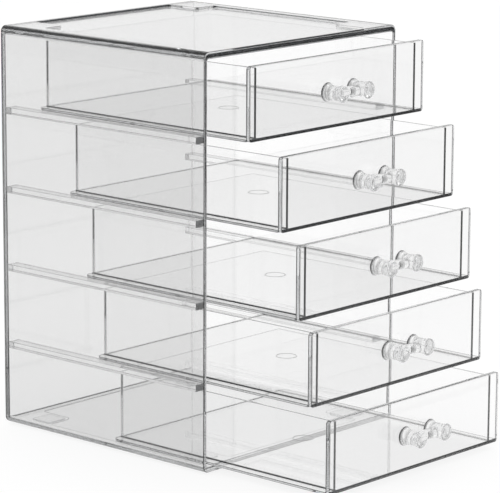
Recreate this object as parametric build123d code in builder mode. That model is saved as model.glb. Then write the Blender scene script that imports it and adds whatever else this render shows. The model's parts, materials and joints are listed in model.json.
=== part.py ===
from build123d import *
import os

os.makedirs("parts", exist_ok=True)

# A clear desk organizer: an upright cabinet, open at the front, with a stack of drawers that
# slide on rails bonded to its side walls. Lengths are in millimetres, +Z is up, the drawers
# come out towards -Y, and +X is to the right seen from the front.
# The origin is on the table, under the middle of the organizer with its drawers as they stand.

# Cabinet sleeve
cabinet_width = 170.0
cabinet_depth = 167.0
wall = 2.5
top_plate = 2.8
floor_plate = 3.0
back_thickness = 2.5
edge_radius = 4.0
inner_radius = 1.5
corner_relief = 0.3

# Sunk field in the top, with a raised square left in each corner
top_rim = 1.4
top_side_border = 10.0
top_end_border = 2.5
top_corner_width = 26.0
top_corner_depth = 27.0

# Sunk field under the floor, with a square left in each corner for a foot
base_sink = 0.8
base_side_border = 10.0
base_end_border = 5.0
field_radius = 3.0

# Feet
foot_size = 15.0
foot_height = 1.0
foot_inset = 12.0
foot_corner = 1.5
foot_margin_x = 1.0
foot_margin_y = 3.0

# Bays and rails, and the extra room over the top drawer
bay_height = 44.3
rail_thickness = 4.1
rail_bearing = 3.0
rail_setback = 7.5
rail_corner = 2.0
head_room = 1.0

# How far the face of each drawer stands out of the cabinet, from the top one down, and how far it
# still does with the drawer pushed home
drawer_pulls = [27.9, 52.3, 66.0, 75.5, 89.2]
home_reach = 5.5

# Drawer fronts, and the clearances of a drawer in its bay
front_thickness = 3.0
front_corner = 2.0
front_edge = 0.4
front_side_gap = 5.0
front_top_gap = 0.8
running_gap = 0.3
tail_gap = 0.5

# Drawer trays
tray_wall = 1.6
tray_floor = 1.6
tray_corner = 2.0
tray_top_step = 1.4
runner_reach = 5.8
runner_thickness = 1.6
runner_corner = 4.0
ring_diameter = 13.0
ring_width = 0.9
ring_height = 0.4

# Handles: two turned barrels that stand out of the front, with a waisted bar between them
handle_spacing = 22.7
barrel_length = 13.6
barrel_base_radius = 5.6
barrel_base_thickness = 1.6
barrel_neck_radius = 5.0
barrel_waist_radius = 4.3
barrel_waist_distance = 5.5
barrel_tip_radius = 5.0
barrel_tip_rounding = 1.8
bar_distance = 7.5
bar_end_radius = 3.8
bar_middle_radius = 3.05

# Sizes and places that follow from those above
drawer_count = len(drawer_pulls)
bay_pitch = bay_height + rail_thickness
inner_width = cabinet_width - 2 * wall
shell_bottom = foot_height
floor_top = shell_bottom + floor_plate
inner_top = floor_top + drawer_count * bay_pitch - rail_thickness + head_room
shell_top = inner_top + top_plate + top_rim
inner_height = inner_top - floor_top
inner_middle_z = (floor_top + inner_top) / 2

front_y = (max(drawer_pulls) + barrel_length - cabinet_depth) / 2
back_y = front_y + cabinet_depth
middle_y = (front_y + back_y) / 2

rail_width = front_side_gap + rail_bearing
rail_x = inner_width / 2 - rail_width / 2
rail_front_y = front_y + rail_setback
rail_back_y = back_y - back_thickness
rail_length = rail_back_y - rail_front_y

front_width = inner_width - 2 * front_side_gap
front_height = bay_height - running_gap - front_top_gap
tray_width = front_width - 2 * runner_reach
tray_height = front_height - tray_top_step
tray_length = cabinet_depth + home_reach - back_thickness - tail_gap - front_thickness

foot_x = cabinet_width / 2 - foot_inset - foot_size / 2
foot_y = cabinet_depth / 2 - foot_inset - foot_size / 2
base_corner_width = foot_inset + foot_size + foot_margin_x
base_corner_depth = foot_inset + foot_size + foot_margin_y


def bay_base(number):
    """Height of what drawer `number` runs on: its rails' tops, or the floor's top for the lowest."""
    return floor_top + (drawer_count - number) * bay_pitch


def draw_field(side_border, end_border, corner_width, corner_depth):
    """Draw the outline of a sunk field: a rectangle inside the borders, less its four corners."""
    field_width = cabinet_width - 2 * side_border
    field_depth = cabinet_depth - 2 * end_border
    notch_width = corner_width - side_border
    notch_depth = corner_depth - end_border
    with Locations((0, middle_y)):
        Rectangle(field_width, field_depth)
        with GridLocations(field_width - notch_width, field_depth - notch_depth, 2, 2):
            Rectangle(notch_width, notch_depth, mode=Mode.SUBTRACT)


# Cabinet shell: a one-piece sleeve of two sides, top and floor
with BuildPart() as cabinet_shell:
    with BuildSketch(Plane.XZ.offset(-back_y)):
        with Locations((0, (shell_bottom + shell_top) / 2)):
            RectangleRounded(cabinet_width, shell_top - shell_bottom, edge_radius)
        with Locations((0, inner_middle_z)):
            RectangleRounded(inner_width, inner_height, inner_radius, mode=Mode.SUBTRACT)
    extrude(amount=cabinet_depth)
    with BuildSketch(Plane.XY.offset(shell_top)) as top_field:
        draw_field(top_side_border, top_end_border, top_corner_width, top_corner_depth)
        fillet(top_field.vertices(), field_radius)
    extrude(amount=-top_rim, mode=Mode.SUBTRACT)
    with BuildSketch(Plane.XY.offset(shell_bottom)) as base_field:
        draw_field(base_side_border, base_end_border, base_corner_width, base_corner_depth)
        fillet(base_field.vertices(), field_radius)
    extrude(amount=base_sink, mode=Mode.SUBTRACT)
cabinet_shell.part.label = "cabinet_shell"
export_step(cabinet_shell.part, "parts/cabinet_shell.step")

# Back panel: a sheet bonded inside the back of the sleeve, flush with its edge
with BuildPart() as back_panel:
    with BuildSketch(Plane.XZ.offset(-back_y)):
        with Locations((0, inner_middle_z)):
            RectangleRounded(inner_width, inner_height, inner_radius + corner_relief)
    extrude(amount=back_thickness)
back_panel.part.label = "back_panel"
export_step(back_panel.part, "parts/back_panel.step")

# Rails: a pair under each drawer but the lowest, which runs on the floor
for side_name, side in (("left", -1), ("right", 1)):
    for number in range(1, drawer_count):
        with BuildPart() as rail:
            with BuildSketch(Plane.XY.offset(bay_base(number))) as rail_outline:
                with Locations((side * rail_x, (rail_front_y + rail_back_y) / 2)):
                    Rectangle(rail_width, rail_length)
                front_ends = rail_outline.vertices().group_by(Axis.Y)[0]
                fillet(front_ends.sort_by(Axis.X)[0 if side > 0 else -1], rail_corner)
            extrude(amount=-rail_thickness)
        rail.part.label = f"{side_name}_rail_{number}"
        export_step(rail.part, f"parts/{rail.part.label}.step")

# Feet: square pads under the corners of the floor
for end_name, end in (("front", -1), ("back", 1)):
    for side_name, side in (("left", -1), ("right", 1)):
        with BuildPart() as foot:
            with BuildSketch(Plane.XY):
                with Locations((side * foot_x, middle_y + end * foot_y)):
                    RectangleRounded(foot_size, foot_size, foot_corner)
            extrude(amount=foot_height)
        foot.part.label = f"foot_{end_name}_{side_name}"
        export_step(foot.part, f"parts/{foot.part.label}.step")

# Drawers: each is a tray, the front panel bonded to it, and the handle bonded to the front
for number, pull in enumerate(drawer_pulls, start=1):
    face_y = front_y - pull
    seam_y = face_y + front_thickness
    tray_middle_y = seam_y + tray_length / 2
    base_z = bay_base(number) + running_gap
    handle_z = base_z + front_height / 2

    # Tray: a base plate, whose edges stand out at the sides as runners, and three walls. The front
    # panel is its fourth wall
    with BuildPart() as tray:
        with BuildSketch(Plane.XY.offset(base_z)) as base_outline:
            with Locations((0, tray_middle_y)):
                Rectangle(front_width, tray_length)
            fillet(base_outline.vertices().group_by(Axis.Y)[-1], runner_corner)
        extrude(amount=runner_thickness)
        with BuildSketch(Plane.XY.offset(base_z)) as wall_outline:
            with Locations((0, tray_middle_y)):
                Rectangle(tray_width, tray_length)
            fillet(wall_outline.vertices().group_by(Axis.Y)[-1], tray_corner)
        extrude(amount=tray_height)
        with BuildSketch(Plane.XY.offset(base_z + tray_floor)):
            with Locations((0, tray_middle_y - tray_wall / 2)):
                Rectangle(tray_width - 2 * tray_wall, tray_length - tray_wall)
        extrude(amount=tray_height - tray_floor, mode=Mode.SUBTRACT)
        with BuildSketch(Plane.XY.offset(base_z + tray_floor)):
            with Locations((0, tray_middle_y)):
                Circle(ring_diameter / 2)
                Circle(ring_diameter / 2 - ring_width, mode=Mode.SUBTRACT)
        extrude(amount=ring_height)
    tray.part.label = f"tray_{number}"
    export_step(tray.part, f"parts/{tray.part.label}.step")

    # Front panel: a sheet with rounded corners and a broken outer edge
    with BuildPart() as front:
        with BuildSketch(Plane.XZ.offset(-seam_y)):
            with Locations((0, base_z + front_height / 2)):
                RectangleRounded(front_width, front_height, front_corner)
        extrude(amount=front_thickness)
        fillet(front.faces().sort_by(Axis.Y)[0].edges(), front_edge)
    front.part.label = f"front_{number}"
    export_step(front.part, f"parts/{front.part.label}.step")

    # Handle: the barrels are turned about lines along Y, the bar about a line along X
    with BuildPart() as handle:
        for barrel_x in (-handle_spacing / 2, handle_spacing / 2):
            with BuildSketch(Plane.XY.offset(handle_z)):
                with BuildLine():
                    # Each point is its distance from the barrel's axis, then from the panel
                    seat = (barrel_x, face_y)
                    base_rim = (barrel_x + barrel_base_radius, face_y)
                    base_edge = (barrel_x + barrel_base_radius, face_y - barrel_base_thickness)
                    neck = (barrel_x + barrel_neck_radius, face_y - barrel_base_thickness)
                    waist = (barrel_x + barrel_waist_radius, face_y - barrel_waist_distance)
                    shoulder = (barrel_x + barrel_tip_radius, face_y - barrel_length + barrel_tip_rounding)
                    crown = (barrel_x + barrel_tip_radius - barrel_tip_rounding, face_y - barrel_length)
                    Polyline(seat, base_rim, base_edge, neck)
                    ThreePointArc(neck, waist, shoulder)
                    RadiusArc(shoulder, crown, barrel_tip_rounding)
                    Polyline(crown, (barrel_x, face_y - barrel_length), seat)
                make_face()
            revolve(axis=Axis((barrel_x, face_y, handle_z), (0, 1, 0)))
        with BuildSketch(Plane.XY.offset(handle_z)):
            with BuildLine():
                bar_y = face_y - bar_distance
                left_end = (-handle_spacing / 2, bar_y - bar_end_radius)
                bar_waist = (0, bar_y - bar_middle_radius)
                right_end = (handle_spacing / 2, bar_y - bar_end_radius)
                ThreePointArc(left_end, bar_waist, right_end)
                Polyline(right_end, (handle_spacing / 2, bar_y), (-handle_spacing / 2, bar_y), left_end)
            make_face()
        revolve(axis=Axis((0, bar_y, handle_z), (1, 0, 0)))
    handle.part.label = f"handle_{number}"
    export_step(handle.part, f"parts/{handle.part.label}.step")
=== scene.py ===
# %% [markdown]
# # A clear desk organizer
# The object is a see-through cabinet with a stack of sliding drawers, moulded and bonded from
# colourless plastic. Its construction is already settled: the imported part gives every piece its
# size and place. This lesson gives the pieces the looks of clear plastic: rounded moulded edges
# with dark lines of painted shade along them, a painted grey shade on the near wall, a hair of air
# in each bonded seam, faint waviness and a bright plain studio.
# We load the part first, and read the boxes of its pieces from it.

# %% Load the part
import json

import bpy
import numpy as np
from mathutils import Matrix, Vector
from mathutils.geometry import tessellate_polygon

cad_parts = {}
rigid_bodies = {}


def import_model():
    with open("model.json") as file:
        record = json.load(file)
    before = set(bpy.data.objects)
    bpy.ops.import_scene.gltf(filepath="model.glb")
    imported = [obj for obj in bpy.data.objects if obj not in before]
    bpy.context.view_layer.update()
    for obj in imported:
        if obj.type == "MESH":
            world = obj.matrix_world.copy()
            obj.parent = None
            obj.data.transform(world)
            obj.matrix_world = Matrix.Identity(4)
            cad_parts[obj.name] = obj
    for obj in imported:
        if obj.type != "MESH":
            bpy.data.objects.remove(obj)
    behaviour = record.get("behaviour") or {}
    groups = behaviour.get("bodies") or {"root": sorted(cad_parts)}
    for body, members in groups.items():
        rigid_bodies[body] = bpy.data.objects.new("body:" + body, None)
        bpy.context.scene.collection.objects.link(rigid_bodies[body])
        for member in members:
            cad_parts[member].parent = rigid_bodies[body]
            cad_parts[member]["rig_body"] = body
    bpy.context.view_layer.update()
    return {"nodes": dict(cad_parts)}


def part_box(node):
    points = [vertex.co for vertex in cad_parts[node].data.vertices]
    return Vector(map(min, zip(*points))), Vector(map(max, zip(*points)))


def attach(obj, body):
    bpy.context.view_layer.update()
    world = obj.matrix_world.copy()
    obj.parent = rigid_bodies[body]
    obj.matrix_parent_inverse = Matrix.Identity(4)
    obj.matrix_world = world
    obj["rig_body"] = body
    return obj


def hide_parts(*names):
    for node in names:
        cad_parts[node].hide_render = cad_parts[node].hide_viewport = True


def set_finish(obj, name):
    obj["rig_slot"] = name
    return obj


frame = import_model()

mm = 0.001

# %% [markdown]
# ## The camera
# The picture was taken with a long lens, from the front left and a little above, so upright edges
# stay almost upright. We could guess a lens and drag the camera about, but a camera worked out
# from the object's own corners puts every edge where the picture has it. Its place is written as
# a real distance, and it looks at a point near the middle of the cabinet.


# %% Camera
def new_object(name, data):
    """An object for a mesh, lamp or camera, put into the scene."""
    made = bpy.data.objects.new(name, data)
    bpy.context.scene.collection.objects.link(made)
    return made


def looking_at(place, target):
    """The matrix of a camera or lamp at a place, turned to face a target."""
    aim = (target - place).to_track_quat("-Z", "Y").to_matrix().to_4x4()
    return Matrix.Translation(place) @ aim


camera_place = Vector((-1269.6, -1134.7, 477.1)) * mm
camera_target = Vector((-10.1, 0.0, 119.6)) * mm
camera_roll = np.radians(0.27)

camera_data = bpy.data.cameras.new("camera")
camera_data.sensor_width = 36.0
camera_data.lens = 208.9
camera = new_object("camera", camera_data)
camera.matrix_world = looking_at(camera_place, camera_target) @ Matrix.Rotation(camera_roll, 4, "Z")
bpy.context.scene.camera = camera
print("camera distance in m:", round((camera_target - camera_place).length, 3))

# %% [markdown]
# ## Outlines with round corners
# Nearly every piece here is an outline carried along an edge profile. The outline is a polygon
# with an arc in each corner. We could draw it by hand as a curve, but worked out from its corners
# it gives exact normals too, and clear plastic needs those: a slightly wrong normal bends light
# the wrong way and shows as a smear.


# %% Outlines
def round_outline(corners, radii, arc_points=9):
    """Points and outward normals of a counter-clockwise polygon with arcs in its corners.

    An arc starts and ends radius times the tangent of half the turn from its corner. Its normals
    turn evenly from one side's normal to the next's, and each point is its centre plus radius
    times normal, or minus in a corner that turns the other way."""
    corners = np.asarray(corners, float)
    radii = np.broadcast_to(np.asarray(radii, float), len(corners))
    ahead = np.roll(corners, -1, axis=0) - corners
    ahead = ahead / np.linalg.norm(ahead, axis=1)[:, None]
    behind = np.roll(ahead, 1, axis=0)
    cross = behind[:, 0] * ahead[:, 1] - behind[:, 1] * ahead[:, 0]
    turn = np.arctan2(cross, (behind * ahead).sum(1))
    signed = radii * np.sign(turn)
    left = np.stack([-behind[:, 1], behind[:, 0]], 1)
    centres = corners - behind * (radii * np.tan(abs(turn) / 2))[:, None] + left * signed[:, None]
    angle = turn[:, None] * np.linspace(0, 1, arc_points)
    out_x = -left[:, 0, None] * np.cos(angle) + left[:, 1, None] * np.sin(angle)
    out_y = -left[:, 0, None] * np.sin(angle) - left[:, 1, None] * np.cos(angle)
    normals = np.stack([out_x, out_y], -1)
    points = centres[:, None] + signed[:, None, None] * normals
    return points.reshape(-1, 2), normals.reshape(-1, 2)


def rectangle(low, high, radii, arc_points=9):
    """A round-cornered rectangle between two corners; radii run from the low left corner round."""
    (x0, y0), (x1, y1) = low, high
    radii = np.roll(np.broadcast_to(np.asarray(radii, float), 4), -1)
    return round_outline([(x1, y0), (x1, y1), (x0, y1), (x0, y0)], radii, arc_points)


print("a rectangle has", len(rectangle((0, 0), (2, 1), 0.2)[0]), "outline points")

# %% [markdown]
# ## Profiles carried round an outline
# A moulded edge is never sharp: it rolls over with a radius of a few tenths of a millimetre, and
# inside corners have a small fillet. A Bevel modifier could add these, but a profile made of
# quarter arcs states them directly, and its normals are known everywhere. A profile row says how
# far a loop stands outside the outline, how high it lies, and which way its normal leans. Its last
# two numbers are the fold: an arrow that is long where the edge turns and nothing on flat walls. The
# finish later paints a dark shade along the edges, where clear plastic looks dark, so it needs to
# know where they are.


# %% Profiles
def quarter(out, up, radius, start, end, hollow=False, steps=5):
    """Rows of a profile's quarter arc: centre plus radius times (cosine, sine) of the angle.

    The normal is that same direction, or its opposite on a hollow arc such as a fillet. The fold
    points along the arc's middle direction. Its length is three times cosine times sine, at most 1,
    so it is full along most of the arc and nothing at its ends."""
    angle = np.radians(np.linspace(start, end, steps))
    lean = np.stack([np.cos(angle), np.sin(angle)], 1)
    middle = np.sign(np.round(lean.sum(0), 6)) / np.sqrt(2) * (-1 if hollow else 1)
    fold = np.clip(3 * abs(lean.prod(1)), 0, 1)[:, None] * middle
    return np.hstack([np.array([out, up]) + radius * lean, -lean if hollow else lean, fold])


def carry(outline, profile, share=(1.0, 1.0)):
    """Loops of an outline, one for each row of a profile: points, normals and folds.

    A point is the outline's point plus its normal times the row's reach, and the row's height.
    share scales that reach along each axis of the outline; where it is zero the wall runs on."""
    points, outward = outline
    reach = outward[None] * np.asarray(share) * profile[:, 0, None, None]
    height = np.broadcast_to(profile[:, 1, None, None], reach.shape[:2] + (1,))
    placed = np.concatenate([points[None] + reach, height], 2)
    leaning = abs(outward * np.asarray(share)).sum(1) / abs(outward).sum(1)
    flat = outward[None] * (1 - (1 - profile[:, 2, None, None]) * leaning[None, :, None])
    rise = profile[:, 3, None] * leaning[None]
    normals = np.concatenate([flat, rise[..., None]], 2)
    turned = outward[None] * profile[:, 4, None, None]
    fold = np.concatenate([turned, np.broadcast_to(profile[:, 5, None, None], height.shape)], 2)
    return placed, normals / np.linalg.norm(normals, axis=2)[..., None], fold * leaning[None, :, None]


def stack(*parts):
    """Several carried profiles, one after another, as one run of loops."""
    return tuple(np.concatenate(arrays) for arrays in zip(*parts))


edge_roll = 0.25 * mm
print("a rolled edge has", len(quarter(0, 0, edge_roll, 0, 90)), "loops")

# %% [markdown]
# ## From loops to a piece
# Quads join each loop to the next, and a flat face closes each end. Normals are stored as custom
# normals, so that wide flat walls shade dead flat right up to their rolled edges. A piece then
# rides on the body of the part's own node, and stands for that node.


# %% Making pieces
LYING = np.eye(3)
STANDING = np.array([[1, 0, 0], [0, 0, 1], [0, -1, 0]], float)
TURNED_OVER = np.diag([-1.0, 1.0, -1.0])


def loop_faces(rows, count, closed=False):
    """Corner numbers of the quads between neighbouring loops, wound to face outwards."""
    row, column = np.meshgrid(np.arange(rows if closed else rows - 1), np.arange(count), indexing="ij")
    next_row, next_column = (row + 1) % rows, (column + 1) % count
    corners = [row * count + column, row * count + next_column,
               next_row * count + next_column, next_row * count + column]
    return np.stack(corners, -1).reshape(-1, 4)


def edge_shade(folds, least=0.1, towards=(-0.55, -0.1, -0.6), level=0.5):
    """How dark the painted shade of a rolled edge is: the length of its fold times a share from least to 1.

    The share is the level plus how far the fold leans towards a side, which is usually the left
    and below: the picture's studio is darkest there."""
    size = np.linalg.norm(folds, axis=1)
    return size * np.clip(level + folds @ towards / np.maximum(size, 0.01), least, 1)


def add_piece(name, points, normals, faces, node, slot, shade):
    """Make the mesh, give it its normals, and let it ride and stand for the part's node.

    A quad takes the normals of its points. Any other face closes a flat side and takes its own.
    The painted shade of each point is kept with the mesh, for the finish to use."""
    mesh = bpy.data.meshes.new(name)
    mesh.from_pydata(points.tolist(), [], faces)
    mesh.polygons.foreach_set("use_smooth", np.ones(len(mesh.polygons), bool))
    corners = np.concatenate([np.asarray(face) for face in faces])
    sides = np.array([len(face) for face in faces])
    own = np.empty(len(faces) * 3)
    mesh.polygons.foreach_get("normal", own)
    own = np.repeat(own.reshape(-1, 3), sides, axis=0)
    on_quad = np.repeat(sides == 4, sides)[:, None]
    mesh.normals_split_custom_set(np.where(on_quad, normals[corners], own).tolist())
    kept = mesh.attributes.new("shade", "FLOAT", "POINT")
    kept.data.foreach_set("value", np.asarray(shade, np.float32).ravel())
    piece = new_object(name, mesh)
    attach(piece, frame["nodes"][node]["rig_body"])
    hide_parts(node)
    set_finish(piece, slot)
    return piece


def add_loops(name, loops, axes, origin, node, slot, **shading):
    """A piece from a run of loops, closed by a face at each end and turned to the given axes."""
    points, normals, fold = loops
    rows, count = points.shape[:2]
    ends = [list(range(count))[::-1], list(range((rows - 1) * count, rows * count))]
    faces = loop_faces(rows, count).tolist() + ends
    placed = points.reshape(-1, 3) @ axes + np.asarray(origin, float)
    turned = normals.reshape(-1, 3) @ axes
    shade = edge_shade(fold.reshape(-1, 3) @ axes, **shading)
    return add_piece(name, placed, turned, faces, node, slot, shade)


def slab(outline, thickness, low_roll=edge_roll, high_roll=edge_roll, band=0.0):
    """Loops of a plate: its outline with a rolled edge at its low face and one at its high face.

    Where a band is given, the painted shade of the low edge fades over that width of the side, and
    that of the high edge over that width of the high face."""
    low = quarter(-low_roll, low_roll, low_roll, -90, 0)
    high = quarter(-high_roll, thickness - high_roll, high_roll, 0, 90)
    if band:
        low[-1, 4:] = low[-2, 4:]
        low = np.vstack([low, [0, low_roll + band, 1, 0, 0, 0]])
        high[-1, 4:] = high[-2, 4:]
        high = np.vstack([high, [-high_roll - band, thickness, 0, 1, 0, 0]])
    return stack(carry(outline, np.vstack([low, high])))


def nodes_that_start(start, word, new_word):
    """Each node whose name starts so, in order, with its piece's name and its box's corners."""
    for node in sorted(name for name in frame["nodes"] if name.startswith(start)):
        low, high = (np.array(corner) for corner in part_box(node))
        yield node, node.replace(word, new_word), low, high


pieces = {}
print("axes ready: lying, standing and turned over")

# %% [markdown]
# ## The cabinet's sleeve
# Two sides, top and floor are one moulding, open at the front and the back. In section it is a
# wall with four rolled edges, carried round a rectangle with round corners, so its loops close on
# themselves. The top and the underside each have a sunk field with a square left in every corner.
# A boolean cut would do, but it leaves sharp rims and loses the normals. So the wide quads there
# are left out, and a flat border, a rolled rim and a sunk floor take their place.
#
# In the cut end at the front, and along the round edges of the near side, the wall is seen folded
# onto itself, and fine dark lines show there. Bent light alone draws them only in a room with dark
# things in the right places. So they are painted instead: their places are written down, as even
# steps across the cut end and as turns round the edge, and kept with the mesh as its painted shade,
# from 0 to 1.

# %% Cabinet sizes from the part
shell_low, shell_high = (np.array(corner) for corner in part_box("cabinet_shell"))
hollow_low, hollow_high = (np.array(corner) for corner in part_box("back_panel"))
shell_depth = shell_high[1] - shell_low[1]
shell_middle_y = (shell_low[1] + shell_high[1]) / 2
shell_edge_radius = 4.0 * mm
hollow_edge_radius = 1.5 * mm
seam = 0.04 * mm
sleeve_roll = 0.4 * mm
sleeve_arc_points = 17
print("cabinet in mm:", ((shell_high - shell_low) / mm).round(1))

# %% Painted lines of shade in the sleeve's edges
# Painted shade across the cut end, from its outer to its inner edge; the right side gets none
top_lines = [0.0, 0.75, 0.95, 0.75, 0.95, 0.85]
left_lines = [0.05, 0.0, 0.25, 0.2, 0.0, 0.0]
line_steps = np.linspace(0, 1, len(top_lines) + 2)[1:-1]
# How much of their fold the rolled edges on both sides of the cut end show as painted shade
outer_roll_shares = {"top": 0.6, "left": 1.0, "right": 0.8}
inner_roll_shares = {"top": 0.6, "left": 0.3, "right": 0.0}
# Painted lines of shade round the near side's long edges, in degrees from straight up towards the left
round_line_turns = [25, 36, 50, 58, 76, 82, 88, 146, 157, 168, 179]
round_line_shades = [0, 1, 1, 0, 0, 0.6, 0, 0, 0.8, 0.8, 0]
# Width over which the painted shade of the sleeve's back edge fades along its outer face
back_line_width = 0.8 * mm
print("lines across the cut end:", len(line_steps), "steps")


# %% Sunk fields
def field_outline(end_border, corner_width, corner_depth):
    """The outline of a sunk field: a rectangle inside the borders, less its four corners."""
    x1 = shell_high[0] - side_border
    y1 = shell_depth / 2 - end_border
    x2 = shell_high[0] - corner_width
    y2 = shell_depth / 2 - corner_depth
    front = [(-x2, -y1), (x2, -y1), (x2, -y2), (x1, -y2)]
    back = [(x1, y2), (x2, y2), (x2, y1), (-x2, y1)]
    left = [(-x2, y2), (-x1, y2), (-x1, -y2), (-x2, -y2)]
    return round_outline(front + back + left, field_radius)


def field_loops(outline, sink, rim_roll=0.35 * mm, foot_fillet=0.3 * mm):
    """Loops from the flat border over a rolled rim, down the step and through a fillet to the floor."""
    rim = quarter(rim_roll, -rim_roll, rim_roll, 90, 180)
    foot = quarter(-foot_fillet, foot_fillet - sink, foot_fillet, 0, -90, hollow=True)
    return stack(carry(outline, np.vstack([rim, foot])))


def border_faces(corners, first, count):
    """Four flat faces between a rectangle's corners, in order, and the loop of points inside them."""
    arc = count // 12
    middle = [corner * arc + arc // 2 for corner in (11, 2, 5, 8)]
    faces = []
    for side in range(4):
        start, end = middle[side], middle[(side + 1) % 4]
        end += count if end < start else 0
        loop = [first + index % count for index in range(end, start - 1, -1)]
        faces.append([corners[side], corners[(side + 1) % 4]] + loop)
    return faces


side_border = 10 * mm
field_radius = 3 * mm
corner_square = 26 * mm
top_outline = field_outline(end_border=2.5 * mm, corner_width=corner_square, corner_depth=27 * mm)
base_outline = field_outline(end_border=5 * mm, corner_width=28 * mm, corner_depth=30 * mm)
top_field = field_loops(top_outline, sink=1.4 * mm)
base_field = field_loops(base_outline, sink=0.8 * mm)
print("a sunk field has", top_field[0].shape[0], "loops of", top_field[0].shape[1], "points")


# %% Sleeve
def sleeve_loops():
    """Loops round the wall's section: out along the outer face, over the front, back inside.

    The cut end at the front has evenly spaced loops, whose fold holds how far across it they lie."""
    outer = rectangle(shell_low[[0, 2]], shell_high[[0, 2]], shell_edge_radius, sleeve_arc_points)
    inner = rectangle(hollow_low[[0, 2]], hollow_high[[0, 2]], hollow_edge_radius, sleeve_arc_points)
    roll, front = sleeve_roll, shell_depth - sleeve_roll
    back = quarter(-roll, roll, roll, -90, 0)
    back[-1, 4:] = back[-2, 4:]
    back = np.vstack([back, [0, roll + back_line_width, 1, 0, 0, 0]])
    outside = np.vstack([back, quarter(-roll, front, roll, 0, 90)])
    inside = np.vstack([quarter(roll, front, roll, 90, 180), quarter(roll, roll, roll, 180, 270)])
    out_part, in_part = carry(outer, outside), carry(inner, inside)
    step = line_steps[:, None, None]
    across = (1 - step) * out_part[0][-1] + step * in_part[0][0]
    facing = np.broadcast_to([0.0, 0.0, 1.0], across.shape)
    return stack(out_part, (across, facing, facing * step), in_part)


def sleeve_shade(points, normals, fold):
    """Painted shade of the sleeve's loops: dark lines in the cut end, strongest at the top, and dark
    lines along the round edges of the near side.

    A point is outside the hollow where, across or up, its ways from the hollow's two sides have
    opposite signs. A place on a round edge is the turn of its normal from straight up."""
    high = points[:, 2] > hollow_high[2] - 1.0 * mm
    left = points[:, 0] < 0
    outer, inner = (np.where(high, shares["top"], np.where(left, shares["left"], shares["right"]))
                    for shares in (outer_roll_shares, inner_roll_shares))
    section = points[:, [0, 2]]
    both_ways = (section - hollow_low[[0, 2]]) * (hollow_high[[0, 2]] - section)
    on_outside = both_ways.min(1) < -0.2 * mm ** 2
    rolled = np.linalg.norm(fold, axis=1) * np.where(on_outside, outer, inner)
    place = -fold[:, 1]
    top, near = (np.interp(place, line_steps, lines) for lines in (top_lines, left_lines))
    in_cut = (normals[:, 1] < -0.99) & (place > 0)
    shade = np.where(in_cut, np.where(high, top, np.where(left, near, 0)), rolled)
    on_near_side = (points[:, 0] < hollow_low[0] - 0.1 * mm) & (abs(normals[:, 1]) < 0.5)
    turn = np.degrees(np.arctan2(-normals[:, 0], normals[:, 2]))
    round_lines = np.interp(turn, round_line_turns, round_line_shades)
    return np.maximum(shade, np.where(on_near_side, round_lines, 0))


def field_shade(points, normals):
    """Painted shade of a sunk field's step: the root of how steep it is, times how far it faces right,
    front or back. It is never more than faint round the corner squares."""
    steepness = np.sqrt(1 - abs(normals[:, 2]))
    most = np.where(abs(points[:, 0]) > shell_high[0] - corner_square, 0.3, 1.0)
    return steepness * np.clip(np.maximum(normals[:, 0], abs(normals[:, 1])), 0.1, most)


def add_sleeve():
    """The sleeve's closed loops, with its top and bottom quads replaced by the sunk fields."""
    points, normals, fold = sleeve_loops()
    rows, count = points.shape[:2]
    arc = count // 4
    back_row, front_row = 5, 6
    faces = loop_faces(rows, count, closed=True)
    wide = faces[:, 0] // count == back_row
    column = faces[:, 0] % count
    kept = faces[~(wide & ((column == 2 * arc - 1) | (column == count - 1)))]
    all_points = [points.reshape(-1, 3) @ STANDING + [0, shell_high[1], 0]]
    all_normals = [normals.reshape(-1, 3) @ STANDING]
    all_shades = [sleeve_shade(all_points[0], all_normals[0], fold.reshape(-1, 3) @ STANDING)]
    all_faces = kept.tolist()
    first = rows * count
    for (field_points, field_normals, _), axes, height, left, right in (
        (top_field, LYING, shell_high[2], 2 * arc, 2 * arc - 1),
        (base_field, TURNED_OVER, shell_low[2], 0, count - 1),
    ):
        corners = [front_row * count + left, front_row * count + right,
                   back_row * count + right, back_row * count + left]
        loops, around = field_points.shape[:2]
        all_points.append(field_points.reshape(-1, 3) @ axes + [0, shell_middle_y, height])
        all_normals.append(field_normals.reshape(-1, 3) @ axes)
        all_shades.append(field_shade(all_points[-1], all_normals[-1]))
        all_faces += border_faces(corners, first, around)
        all_faces += (loop_faces(loops, around) + first).tolist()
        all_faces.append(list(range(first + (loops - 1) * around, first + loops * around)))
        first += loops * around
    return add_piece("cabinet_sleeve", np.vstack(all_points), np.vstack(all_normals), all_faces,
                     "cabinet_shell", "clear_shell", np.concatenate(all_shades))


pieces["cabinet_sleeve"] = add_sleeve()
print("sleeve:", len(pieces["cabinet_sleeve"].data.polygons), "faces")

# %% [markdown]
# ## Back panel, rails and feet
# These are plates with rolled edges. Where one is bonded to its neighbour, a seam of a few
# hundredths of a millimetre is left. Two clear solids that share a face confuse a renderer, which
# can't tell which of them a ray has entered, and a real bonded seam shows as a fine line anyway.
# A rail's glued back end gets a dark painted shade, and its free front end hardly any painted edge shade.

# %% Back panel
back = rectangle(hollow_low[[0, 2]] + seam, hollow_high[[0, 2]] - seam, hollow_edge_radius + 0.3 * mm)
back_loops = slab(back, hollow_high[1] - hollow_low[1])
pieces["back_sheet"] = add_loops("back_sheet", back_loops, STANDING, (0, hollow_high[1], 0),
                                 "back_panel", "clear_shell")
print("back panel thickness in mm:", round((hollow_high[1] - hollow_low[1]) / mm, 2))

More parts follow.
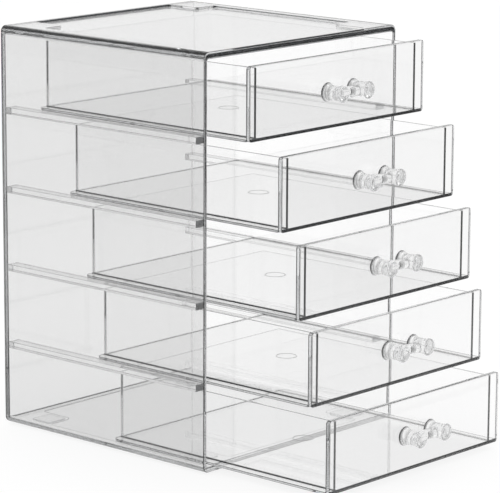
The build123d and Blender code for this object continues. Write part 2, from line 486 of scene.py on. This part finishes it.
# %% Rails
rail_end_radius = 2.0 * mm
rail_corner_radius = 0.5 * mm
glued_length = 0.3 * mm
# Folds that paint a dark shade on a rail's glued back end, and a small share of it at its free front end
glued_folds = {"left": (-0.8, 0, -0.6), "right": (0.5, 0, 0)}
free_end_share = 0.2
for node, name, low, high in nodes_that_start(("left_", "right_"), "rail", "ledge"):
    side = node.split("_")[0]
    on_left = side == "left"
    low[0] += seam if on_left else 0
    high[0] -= 0 if on_left else seam
    high[1] -= seam
    free_end = 1 if on_left else 0
    radii = [rail_end_radius if corner == free_end else rail_corner_radius for corner in range(4)]
    rail_loops = slab(rectangle(low[:2], high[:2], radii), high[2] - low[2])
    rail_points, rail_normals, rail_folds = rail_loops
    on_side = abs(rail_normals[..., 2]) < 0.9
    rail_folds[(rail_points[..., 1] > high[1] - glued_length) & on_side] = glued_folds[side]
    rail_folds[rail_points[..., 1] < low[1] + rail_end_radius] *= free_end_share
    pieces[name] = add_loops(name, rail_loops, LYING, (0, 0, low[2]), node, "clear_rail")
print("pieces with the rails:", len(pieces))

# %% Feet
foot_corner_radius = 1.5 * mm
for node, name, low, high in nodes_that_start("foot_", "foot", "pad"):
    foot_loops = slab(rectangle(low[:2], high[:2], foot_corner_radius), high[2] - low[2] - seam)
    pieces[name] = add_loops(name, foot_loops, LYING, (0, 0, low[2]), node, "clear_foot")
print("pieces with the feet:", len(pieces))

# %% [markdown]
# ## Drawer trays
# A tray is one moulding: a base plate whose sides stand out as runners, three walls, and a small
# ring in the middle of the floor where the plastic was let into the mould. The front panel is its
# fourth wall. The plate, the walls and the ring are three runs of loops. Triangles fill the flat top
# of the plate round the foot of the walls and round the ring, so all of it is one closed skin.
# Where the tray's ends are glued to the front panel, no light comes through from behind, and each
# glued end is painted as a black line of shade. The other edges get a painted shade as they lean.

# %% Tray sizes
runner_reach = 5.8 * mm
plate_thickness = 1.6 * mm
tray_wall = 1.6 * mm
tray_corner_radius = 2.0 * mm
tray_inner_radius = 1.0 * mm
wall_nose_radius = 0.4 * mm
runner_tail_radius = 4.0 * mm
runner_nose_radius = 0.5 * mm
wall_fillet = 0.75 * mm
plate_roll = 0.45 * mm
rim_roll = 0.2 * mm
# Painted shade: full on a glued end, in the back left inner corner within a reach, and on other edges as
# they lean
glued_shade = 1.0
corner_shade = 0.8
corner_reach = 3 * mm
edge_manner = {"least": 0.15, "towards": (-0.6, -0.1, -0.75), "level": 0.4}
ring_radius = 6.05 * mm
ring_width = 0.9 * mm
ring_height = 0.12 * mm
hair = 0.02 * mm


# %% Tray skin
def ring_profile(steps=9):
    """A low rounded ridge: half a cosine wave high over its width, with the normal of its slope."""
    across = np.linspace(1, -1, steps)
    height = ring_height * (1 + np.cos(np.pi * across)) / 2
    slope = ring_height * np.pi * np.sin(np.pi * across) / ring_width
    lean = np.stack([slope, np.ones(steps)], 1)
    lean /= np.linalg.norm(lean, axis=1)[:, None]
    return np.column_stack([across * ring_width / 2, plate_thickness + height, lean, np.zeros((steps, 2))])


def fill_flat(loops, firsts):
    """Triangles, facing up, between an outline and the holes in it; firsts number their points.

    Twice a triangle's area is the cross product of two sides, and it is negative where the
    triangle faces down, so there two corners change places."""
    flat = np.vstack([loop[:, :2] for loop in loops]) / mm
    numbers = np.concatenate([first + np.arange(len(loop)) for loop, first in zip(loops, firsts)])
    outlines = [[Vector((x, y, 0)) for x, y in loop[:, :2] / mm] for loop in loops]
    corners = np.array(tessellate_polygon(outlines))
    first, second = flat[corners[:, 1]] - flat[corners[:, 0]], flat[corners[:, 2]] - flat[corners[:, 0]]
    downward = first[:, 0] * second[:, 1] - first[:, 1] * second[:, 0] < 0
    corners[downward] = corners[downward][:, ::-1]
    return numbers[corners]


def tray_shade(points, normals, folds, inner, end):
    """Painted shade of a tray: full where it is glued and on the left wall's outer edges, stronger in
    the inner corner at the back left, and elsewhere as its edges lean.

    Across a round corner, twice the product of a normal's two parts is 1 in its middle and 0 at
    its ends."""
    in_wall = points[:, 2] > plate_thickness + 0.01 * mm
    glue_line = np.where(in_wall, hair - end + 0.9 * wall_nose_radius, 0.01 * mm - end)
    glued = (points[:, 1] < glue_line) & (abs(normals[:, 2]) < 0.9)
    left_edge = (points[:, 0] < -inner) & (folds[:, 0] < 0)
    shade = np.where(left_edge, np.linalg.norm(folds, axis=1), edge_shade(folds, **edge_manner))
    back_left = (points[:, 0] < 0) & (points[:, 1] > end - corner_reach)
    corner = back_left & (points[:, 2] > plate_thickness) & (normals[:, 1] < 0)
    in_corner = 2 * abs(normals[:, 0] * normals[:, 1]) * corner_shade
    return np.where(glued, glued_shade, np.maximum(shade, np.where(corner, in_corner, 0)))


def tray_skin(width, length, height):
    """Points, normals, faces and shades of a tray whose floor is centred on its own origin."""
    half, end = width / 2, length / 2
    side, inner = half - runner_reach, half - runner_reach - tray_wall
    plate = rectangle((-half, -end), (half, end), [runner_nose_radius] * 2 + [runner_tail_radius] * 2)
    front, tail = hair - end, end - hair
    walls = round_outline(
        [(-side, front), (-inner, front), (-inner, end - tray_wall), (inner, end - tray_wall),
         (inner, front), (side, front), (side, tail), (-side, tail)],
        [wall_nose_radius] * 2 + [tray_inner_radius] * 2 + [wall_nose_radius] * 2 + [tray_corner_radius] * 2)
    flush = np.clip((end - abs(walls[0][:, 1])) / tray_wall, 0, 1)
    share = np.stack([np.ones(len(flush)), flush], 1)
    angle = 2 * np.pi * (np.arange(48) + 0.5) / 48
    spokes = np.stack([np.cos(angle), np.sin(angle)], 1)
    under = quarter(-plate_roll, plate_roll, plate_roll, -90, 0)
    runner = quarter(-edge_roll, plate_thickness - edge_roll, edge_roll, 0, 90)
    foot = quarter(wall_fillet, plate_thickness + wall_fillet, wall_fillet, 270, 180, hollow=True)
    rim = quarter(-rim_roll, height - rim_roll, rim_roll, 0, 90)
    runs = [stack(carry(plate, under), carry(plate, runner, (1, 0))),
            stack(carry(walls, foot, share), carry(walls, rim)),
            carry((spokes * ring_radius, spokes), ring_profile())]
    counts = [run[0].shape[1] for run in runs]
    rows = [len(run[0]) for run in runs]
    firsts = np.cumsum([0] + [row * count for row, count in zip(rows, counts)])
    faces = [list(range(counts[0]))[::-1]]
    for first, row, count in zip(firsts, rows, counts):
        faces += (loop_faces(row, count) + first).tolist()
    faces += fill_flat([runs[0][0][-1], runs[1][0][0], runs[2][0][0]],
                       [firsts[1] - counts[0], firsts[1], firsts[2]]).tolist()
    faces += fill_flat([runs[1][0][-1]], [firsts[2] - counts[1]]).tolist()
    faces.append(list(range(firsts[3] - counts[2], firsts[3])))
    points, normals, folds = (np.vstack([run[part].reshape(-1, 3) for run in runs]) for part in range(3))
    return points, normals, faces, tray_shade(points, normals, folds, inner, end)


# %% Trays
for node, name, low, high in nodes_that_start("tray_", "tray", "drawer_box"):
    tray_points, tray_normals, tray_faces, shades = tray_skin(*(high - low))
    middle = [0, (low[1] + high[1]) / 2, low[2]]
    pieces[name] = add_piece(name, tray_points + middle, tray_normals, tray_faces, node, "clear_tray",
                             shades)
print("pieces with the trays:", len(pieces), "and faces of a tray:", len(tray_faces))

# %% [markdown]
# ## Drawer fronts
# A front is a plate with round corners and a rolled edge all round, on both faces. A dark line of
# painted shade along the lower and left edges is what tells the eye where the front ends. It is
# broader than the roll itself, because the plate's thickness is seen through it, so its painted
# shade fades over a band.

# %% Fronts
front_corner_radius = 2.0 * mm
front_roll = 0.4 * mm
front_back_roll = 0.5 * mm
front_band = 0.6 * mm
for node, name, low, high in nodes_that_start("front_", "front", "drawer_front"):
    front_loops = slab(rectangle(low[[0, 2]], high[[0, 2]], front_corner_radius),
                       high[1] - low[1] - seam, front_back_roll, front_roll, front_band)
    pieces[name] = add_loops(name, front_loops, STANDING, (0, high[1] - seam, 0), node, "clear_front",
                             towards=(-0.4, 0.55, -1.2), level=0.45)
print("pieces with the fronts:", len(pieces))

# %% [markdown]
# ## Handles
# A handle is one solid moulding in the shape of a letter H: two turned barrels joined by a waisted
# bar, with soft hollows where they meet. Three meshes pushed into each other would show their
# inner walls through clear plastic, and a boolean would leave sharp creases. So the handle is
# written as a distance field: a formula that is negative inside, positive outside and zero on the
# surface. Remesh gives an even skin over rough tubes, and Newton's step then puts every point of
# it exactly on the zero surface: each point moves against the slope by the value over the slope.

# %% Handle as a distance field
barrel_spacing = 22.7 * mm
barrel_length = 13.6 * mm
base_radius = 5.6 * mm
base_thickness = 1.6 * mm
base_round = 0.5 * mm
neck_radius = 5.0 * mm
waist_radius = 4.3 * mm
waist_reach = 5.5 * mm
tip_radius = 5.0 * mm
tip_round = 1.8 * mm
bar_reach = 7.5 * mm
bar_end_radius = 3.8 * mm
bar_middle_radius = 3.05 * mm
base_blend = 0.8 * mm
bar_blend = 1.4 * mm


def waisted(along, off_axis, first, middle, last):
    """Distance to a waisted side: the radius of the circle through three profile points, less the
    distance from that circle's centre, which lies outside the solid."""
    points = np.array([first, middle, last], float)
    rows = 2 * (points[1:] - points[0])
    centre = np.linalg.solve(rows, (points[1:] ** 2).sum(1) - (points[0] ** 2).sum())
    radius = np.linalg.norm(points[0] - centre)
    return radius - np.hypot(along - centre[0], off_axis - centre[1])


def blended(a, b, width):
    """Union of two fields with a soft hollow: the lesser, less a share of how near they are."""
    near = np.maximum(width - abs(a - b), 0) / width
    return np.minimum(a, b) - near ** 2 * width / 4


def rounded_cut(a, b, radius):
    """Intersection of two fields with a round edge: a circle's arc joins the two surfaces."""
    corner = np.maximum(np.stack([a, b]) + radius, 0)
    return np.minimum(np.maximum(a, b), -radius) + np.hypot(*corner)


def handle_field(p):
    """Field of the whole handle; p is across, out from the panel, and up.

    Past its ends, inside the barrels, the bar is closed by half a ball, so the field has no crease."""
    across, out, up = p[:, 0], p[:, 1], p[:, 2]
    half = barrel_spacing / 2
    off = np.hypot(abs(across) - half, up)
    shoulder = barrel_length - tip_round
    side = waisted(out, off, (base_thickness, neck_radius), (waist_reach, waist_radius),
                   (shoulder, tip_radius))
    barrel = rounded_cut(side, out - barrel_length, tip_round)
    barrel = np.maximum(barrel, base_thickness / 2 - out)
    base = rounded_cut(off - base_radius, abs(out - base_thickness / 2) - base_thickness / 2, base_round)
    past_end = np.maximum(abs(across) - half, 0)
    off_bar = np.sqrt((out - bar_reach) ** 2 + up ** 2 + past_end ** 2)
    bar = waisted(np.clip(across, -half, half), off_bar, (-half, bar_end_radius),
                  (0, bar_middle_radius), (half, bar_end_radius))
    return blended(blended(base, barrel, base_blend), bar, bar_blend)


def field_slope(p, step=0.01 * mm):
    """Slope of the field at each point, from its values a small step to both sides."""
    steps = np.eye(3) * step
    return np.stack([(handle_field(p + s) - handle_field(p - s)) / (2 * step) for s in steps], 1)


print("field at a barrel's tip in mm:",
      (handle_field(np.array([[barrel_spacing / 2, barrel_length, 0]])) / mm).round(3))


# %% Handle skin
def rough_tube(start, end, radius, around=32):
    """Points and faces of a plain closed tube between two points, for Remesh to melt together."""
    start, end = np.asarray(start, float), np.asarray(end, float)
    along = (end - start) / np.linalg.norm(end - start)
    first = np.cross(along, [0, 0, 1.0])
    second = np.cross(along, first)
    angle = np.linspace(0, 2 * np.pi, around, endpoint=False)[:, None]
    ring = radius * (np.cos(angle) * first + np.sin(angle) * second)
    points = np.vstack([start + ring, end + ring])
    faces = loop_faces(2, around).tolist()
    return points, faces + [list(range(around))[::-1], list(range(around, 2 * around))]


def handle_skin(voxel=0.3 * mm, passes=8, least_slope=0.2):
    """Remesh three tubes into one skin, then move its points onto the field's zero surface.

    Each pass is one Newton's step, and least_slope keeps its divisor from coming near nothing."""
    half = barrel_spacing / 2
    tubes = [rough_tube((-half, 0, 0), (-half, barrel_length, 0), tip_radius),
             rough_tube((half, 0, 0), (half, barrel_length, 0), tip_radius),
             rough_tube((-half, bar_reach, 0), (half, bar_reach, 0), bar_end_radius)]
    firsts = np.cumsum([0] + [len(points) for points, _ in tubes])
    faces = [[c + first for c in face] for (_, own), first in zip(tubes, firsts) for face in own]
    mesh = bpy.data.meshes.new("handle_rough")
    mesh.from_pydata(np.vstack([points for points, _ in tubes]).tolist(), [], faces)
    rough = new_object("handle_rough", mesh)
    remesh = rough.modifiers.new("skin", "REMESH")
    remesh.mode = "VOXEL"
    remesh.voxel_size = voxel
    bpy.context.view_layer.update()
    skin = bpy.data.meshes.new_from_object(rough.evaluated_get(bpy.context.evaluated_depsgraph_get()))
    bpy.data.objects.remove(rough)
    points = np.empty(len(skin.vertices) * 3)
    skin.vertices.foreach_get("co", points)
    points = points.reshape(-1, 3)
    for _ in range(passes):
        slope = field_slope(points)
        squared = np.maximum((slope ** 2).sum(1), least_slope)
        points = points - slope * (handle_field(points) / squared)[:, None]
    slope = field_slope(points)
    faces = [list(polygon.vertices) for polygon in skin.polygons]
    return points, slope / np.linalg.norm(slope, axis=1)[:, None], faces


skin_points, skin_normals, skin_faces = handle_skin()
print("handle skin:", len(skin_faces), "faces, worst distance from the field in mm:",
      float((abs(handle_field(skin_points)).max() / mm).round(4)))

# %% Handles
# Painted shade: a dark ring round the base of each barrel, strongest on its upper left side
base_ring_shade = np.interp(skin_points[:, 1], [0.5 * base_thickness, 1.3 * base_thickness], [0.9, 0])
off_axis = np.hypot(abs(skin_points[:, 0]) - barrel_spacing / 2, skin_points[:, 2])
base_ring_shade *= np.interp(off_axis, [tip_radius - 0.3 * mm, tip_radius + 0.2 * mm], [0, 1])
base_ring_shade *= np.clip(0.6 + skin_normals @ [-0.4, 0, 0.3], 0, 1)
# The skin stands out along +Y, and a handle stands out of its panel along -Y
turned_points = skin_points * [1, seam / barrel_length - 1, 1]
turned_normals = skin_normals * [1, -1, 1]
turned_faces = [face[::-1] for face in skin_faces]
for node, name, low, high in nodes_that_start("handle_", "handle", "pull"):
    origin = ((low[0] + high[0]) / 2, high[1] - seam, (low[2] + high[2]) / 2)
    pieces[name] = add_piece(name, turned_points + origin, turned_normals, turned_faces, node,
                             "clear_handle", base_ring_shade)
print("pieces with the handles:", len(pieces))

# %% [markdown]
# ## Effects that the finishes share
# Every finish of clear plastic uses the same few effects, with values of its own. The nodes could be
# copied from one material to the next, but a node group keeps each effect in one place. First come
# helpers that add nodes.


# %% Node helpers
def feed(tree, socket, value):
    """Link a socket to another node's output, or set a plain number or colour on it."""
    if isinstance(value, bpy.types.NodeSocket):
        tree.links.new(value, socket)
    else:
        socket.default_value = value


def add_node(tree, kind, inputs=(), **settings):
    """The outputs of a new node, once it has its settings and its inputs are fed, by label."""
    node = tree.nodes.new(kind)
    for setting, value in settings.items():
        setattr(node, setting, value)
    for label, value in dict(inputs).items():
        feed(tree, node.inputs[label], value)
    return node.outputs


def calculate(tree, operation, first, second, clamp=False):
    """A Math node's result for two numbers or sockets."""
    terms = {0: first, 1: second}
    return add_node(tree, "ShaderNodeMath", terms, operation=operation, use_clamp=clamp)["Value"]


def remap(tree, value, from_range, to_range):
    """A straight line from one range to another, held at its ends."""
    labels = ("Value", "From Min", "From Max", "To Min", "To Max")
    return add_node(tree, "ShaderNodeMapRange", zip(labels, (value, *from_range, *to_range)))["Result"]


def mix(tree, kind, share, first, second):
    """A mix of two numbers (FLOAT) or colours (RGBA), with the share held between 0 and 1."""
    inputs = {"Factor": share, "A": first, "B": second}
    return add_node(tree, "ShaderNodeMix", inputs, data_type=kind, clamp_factor=True)["Result"]


def axes_of(tree, coordinates):
    """X, Y and Z of the coordinates named."""
    where = add_node(tree, "ShaderNodeTexCoord")[coordinates]
    return add_node(tree, "ShaderNodeSeparateXYZ", {"Vector": where})


def object_noise(tree, scale, detail):
    """Noise on the object's own coordinates."""
    inputs = {"Vector": add_node(tree, "ShaderNodeTexCoord")["Object"], "Scale": scale, "Detail": detail}
    return add_node(tree, "ShaderNodeTexNoise", inputs)["Fac"]


def empty_tree(owner):
    """The node tree of a material or a world, with nothing in it."""
    owner.use_nodes = True
    owner.node_tree.nodes.clear()
    return owner.node_tree


def new_group(name, inputs, outputs):
    """An empty node group, its inputs and its outputs: all numbers, but a tint is a colour."""
    group = bpy.data.node_groups.new(name, "ShaderNodeTree")
    for way, labels in (("INPUT", inputs), ("OUTPUT", outputs)):
        for label in labels:
            kind = "NodeSocketColor" if label == "Tint" else "NodeSocketFloat"
            group.interface.new_socket(label, in_out=way, socket_type=kind)
    return group, group.nodes.new("NodeGroupInput").outputs, group.nodes.new("NodeGroupOutput").inputs


def place_group(tree, group, **values):
    """The outputs of a group that is given its values."""
    return add_node(tree, "ShaderNodeGroup", values, node_tree=group)


print("node helpers ready")

# %% [markdown]
# ## Waviness and haze
# Moulded walls are never quite flat: a slow noise, as the height of a bump, bends what is seen
# through them a little. And handled plastic has a faint haze, more in some places than in others:
# a small change of roughness and of how much light gets through. Both could be painted on a
# texture, but noise on the object's own coordinates has no seams and fits every piece.

# %% Moulded waviness
waviness, given, result = new_group("moulded waviness", ["Scale"], ["Height"])
feed(waviness, result["Height"], object_noise(waviness, given["Scale"], detail=1.0))
print("group:", waviness.name)

# %% Handling haze
haze, given, result = new_group("handling haze", ["Scale", "Least", "Most", "Veil"], ["Roughness", "Tint"])
patches = object_noise(haze, given["Scale"], detail=5.0)
feed(haze, result["Roughness"], remap(haze, patches, (0.45, 0.75), (given["Least"], given["Most"])))
veil = calculate(haze, "MULTIPLY", remap(haze, patches, (0.35, 0.8), (0.6, 1.0)), given["Veil"])
feed(haze, result["Tint"], mix(haze, "RGBA", veil, (1.0, 1.0, 1.0, 1), (0.0, 0.01, 0.03, 1)))
print("group:", haze.name)

# %% [markdown]
# ## A painted grey shade on the near side, and painted dark edges
# The cabinet's left wall is a little grey in the picture, and the edges are nearly black, because
# both pick up dark parts of the studio. A dark wall beside the object would do it, but it would
# darken all else that mirrors it. So both are painted into the plastic as shade here: it passes
# less light where it lies further left than a given depth, and where the mesh has a painted shade.
# The cube makes a full shade black and leaves a faint one nearly clear, and fine noise varies the
# edges along their length.

# %% Painted shade on the near side
near_side, given, result = new_group("painted near side shade", ["Depth", "Level"], ["Clear"])
inward = calculate(near_side, "ADD", axes_of(near_side, "Object")["X"], given["Depth"])
feed(near_side, result["Clear"], remap(near_side, inward, (0.0, 0.3 * mm), (given["Level"], 1.0)))
print("group:", near_side.name)

# %% Painted dark edges
edges, given, result = new_group("painted edge shade", ["Strength"], ["Clear"])
kept_shade = add_node(edges, "ShaderNodeAttribute", attribute_name="shade")["Fac"]
streaks = remap(edges, object_noise(edges, scale=90.0, detail=4.0), (0.3, 0.7), (0.88, 1.25))
darkness = calculate(edges, "MULTIPLY", given["Strength"], kept_shade, clamp=True)
darkness = calculate(edges, "MULTIPLY", darkness, streaks, clamp=True)
clear_part = calculate(edges, "SUBTRACT", 1.0, darkness)
feed(edges, result["Clear"], calculate(edges, "POWER", clear_part, 3.0))
print("group:", edges.name)

# %% [markdown]
# ## One recipe, several finishes
# Clear plastic is a Principled shader with full transmission and the bend of light in acrylic. Its
# volume takes a little light on the way, so a look along a wall is darker than one across it. The
# base colour carries the haze's tint, the painted grey shade of the near side and the painted dark
# edges. Lamps are let through with a Transparent shader on shadow rays, as real clear plastic casts
# a pale shadow.


# %% Clear plastic recipe
def clear_plastic(name, loss, waves, haze_patches, veil, edge_strength=1.0, near_side_shade=None):
    """A finish of clear plastic. loss is the density of what takes light inside it.

    waves are the scale and the height in metres of the waviness, and haze_patches the scale and the
    least and most roughness of the haze. veil is how much the haze darkens a wall, and edge_strength
    how much of its painted shade an edge shows, from 0 to 1. near_side_shade is the depth left of the
    middle where a painted grey shade begins, and the level of light that gets through there."""
    material = bpy.data.materials.new(name)
    tree = empty_tree(material)
    haze_scale, least, most = haze_patches
    worn = place_group(tree, haze, Scale=haze_scale, Least=least, Most=most, Veil=veil)
    clear = place_group(tree, edges, Strength=edge_strength)["Clear"]
    if near_side_shade:
        depth, level = near_side_shade
        near = place_group(tree, near_side, Depth=depth, Level=level)["Clear"]
        clear = calculate(tree, "MULTIPLY", clear, near)
    wave_scale, wave_height = waves
    wave = place_group(tree, waviness, Scale=wave_scale)["Height"]
    bump = {"Strength": 1.0, "Distance": wave_height, "Height": wave}
    # The base colour goes nearly black where the painted edge shade is full, and grey where the near side is
    # shaded
    plastic = add_node(tree, "ShaderNodeBsdfPrincipled", {
        "Base Color": mix(tree, "RGBA", clear, (0.001, 0.0012, 0.0015, 1), worn["Tint"]),
        "Roughness": worn["Roughness"],
        "Normal": add_node(tree, "ShaderNodeBump", bump)["Normal"],
        "Transmission Weight": 1.0,
        "IOR": 1.49,
    })["BSDF"]
    for_lamps = add_node(tree, "ShaderNodeBsdfTransparent", {"Color": (0.93, 0.935, 0.94, 1)})["BSDF"]
    lamp_ray = add_node(tree, "ShaderNodeLightPath")["Is Shadow Ray"]
    surface = add_node(tree, "ShaderNodeMixShader", {"Fac": lamp_ray, 1: plastic, 2: for_lamps})["Shader"]
    taken = {"Color": (0.30, 0.33, 0.36, 1), "Density": loss}
    volume = add_node(tree, "ShaderNodeVolumeAbsorption", taken)["Volume"]
    add_node(tree, "ShaderNodeOutputMaterial", {"Surface": surface, "Volume": volume})
    return material


print("recipe ready")

# %% Finishes
near_wall_depth = float(-hollow_low[0] - 0.2 * mm)
finishes = {
    "clear_shell": clear_plastic(
        "clear shell plastic", loss=1.5, waves=(24, 0.02 * mm), haze_patches=(30, 0.0, 0.012),
        veil=0.004, near_side_shade=(near_wall_depth, 0.79)),
    "clear_rail": clear_plastic(
        "clear rail plastic", loss=4, waves=(40, 0.01 * mm), haze_patches=(60, 0.0, 0.02),
        veil=0.003, edge_strength=0.8),
    "clear_tray": clear_plastic(
        "clear tray plastic", loss=1.5, waves=(30, 0.02 * mm), haze_patches=(40, 0.0, 0.015),
        veil=0.001),
    "clear_front": clear_plastic(
        "clear front plastic", loss=2, waves=(26, 0.015 * mm), haze_patches=(30, 0.0, 0.012),
        veil=0.004),
    "clear_handle": clear_plastic(
        "clear handle plastic", loss=3, waves=(120, 0.01 * mm), haze_patches=(120, 0.0, 0.02),
        veil=0.005),
    "clear_foot": clear_plastic(
        "clear foot rubber", loss=20, waves=(200, 0.01 * mm), haze_patches=(300, 0.02, 0.1),
        veil=0.01, edge_strength=0.7),
}
for piece in pieces.values():
    piece.data.materials.append(finishes[piece["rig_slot"]])
print("finishes:", ", ".join(finishes))

# %% [markdown]
# ## Studio
# Clear things are lit through, not at: they need a white background behind them. The world and the
# floor are white to the camera, also through clear walls, and the floor keeps a little of the
# object's shadow. A ray that a surface has mirrored once finds a room that is darker towards the
# front, and one that was mirrored more often finds it a little darker on the left. One soft lamp
# hangs overhead.


# %% What a ray finds
def found_level(tree, first_range, deep_range, plain):
    """Level of light that a ray finds: plain for a ray that was never mirrored, then the first
    range for one mirroring, and the deep range for more.

    A range is an axis of the room, two places along it, and the levels at those places. The share
    of each range is the number of mirrorings that call for it, held between 0 and 1."""
    mirrorings = add_node(tree, "ShaderNodeLightPath")["Glossy Depth"]
    after_first = calculate(tree, "SUBTRACT", mirrorings, 1.0)
    level = mix(tree, "FLOAT", mirrorings, plain, remap(tree, *first_range))
    return mix(tree, "FLOAT", after_first, level, remap(tree, *deep_range))


print("studio levels ready")

# %% World
world = bpy.data.worlds.new("studio")
bpy.context.scene.world = world
sky = empty_tree(world)
room = axes_of(sky, "Generated")
sky_level = found_level(sky, first_range=(room["Y"], (-0.6, -0.2), (0.32, 0.8)),
                        deep_range=(room["X"], (-0.35, 0.35), (0.64, 0.78)), plain=1.0)
light = {"Color": (1, 1, 1, 1), "Strength": sky_level}
background = add_node(sky, "ShaderNodeBackground", light)["Background"]
add_node(sky, "ShaderNodeOutputWorld", {"Surface": background})
print("world ready")

# %% Floor
floor_half = 4.0
floor_drop = 0.1 * mm
floor_glow_share = 0.85
floor_mesh = bpy.data.meshes.new("floor")
floor_corners = np.array([(-1, -1), (1, -1), (1, 1), (-1, 1)]) * floor_half
floor_mesh.from_pydata([(x, y, -floor_drop) for x, y in floor_corners], [], [(0, 1, 2, 3)])
floor = new_object("floor", floor_mesh)
paper = bpy.data.materials.new("white paper")
tree = empty_tree(paper)
room = axes_of(tree, "Object")
floor_level = found_level(tree, first_range=(room["Y"], (-0.45, -0.2), (0.4, 1.0)),
                          deep_range=(room["X"], (-0.3, -0.12), (0.8, 0.98)), plain=1.02)
dull = add_node(tree, "ShaderNodeBsdfDiffuse", {"Color": (0.9, 0.9, 0.9, 1)})["BSDF"]
glow = add_node(tree, "ShaderNodeEmission", {"Strength": floor_level})["Emission"]
both = add_node(tree, "ShaderNodeMixShader", {"Fac": floor_glow_share, 1: dull, 2: glow})["Shader"]
add_node(tree, "ShaderNodeOutputMaterial", {"Surface": both})
floor_mesh.materials.append(paper)
print("floor ready")

# %% Lamp
softbox_place = Vector((0.2, 0.1, 1.6))
softbox_target = Vector((0, 0, 0.1))
softbox = bpy.data.lights.new("overhead", "AREA")
softbox.size = 0.9
softbox.energy = 6
new_object("overhead", softbox).matrix_world = looking_at(softbox_place, softbox_target)
print("lamp ready, of", softbox.energy, "W")

# %% [markdown]
# ## Render settings that belong to clear plastic
# A ray can cross a dozen walls, so it needs many bounces. Light focused onto the floor is left out,
# because the pale shadow already stands for it.

# %% Light paths
paths = bpy.context.scene.cycles
paths.max_bounces = 64
paths.transmission_bounces = 48
paths.glossy_bounces = 44
paths.transparent_max_bounces = 40
paths.caustics_refractive = False
paths.caustics_reflective = False
bpy.context.scene.view_settings.view_transform = "Standard"
print("bounces:", paths.max_bounces)
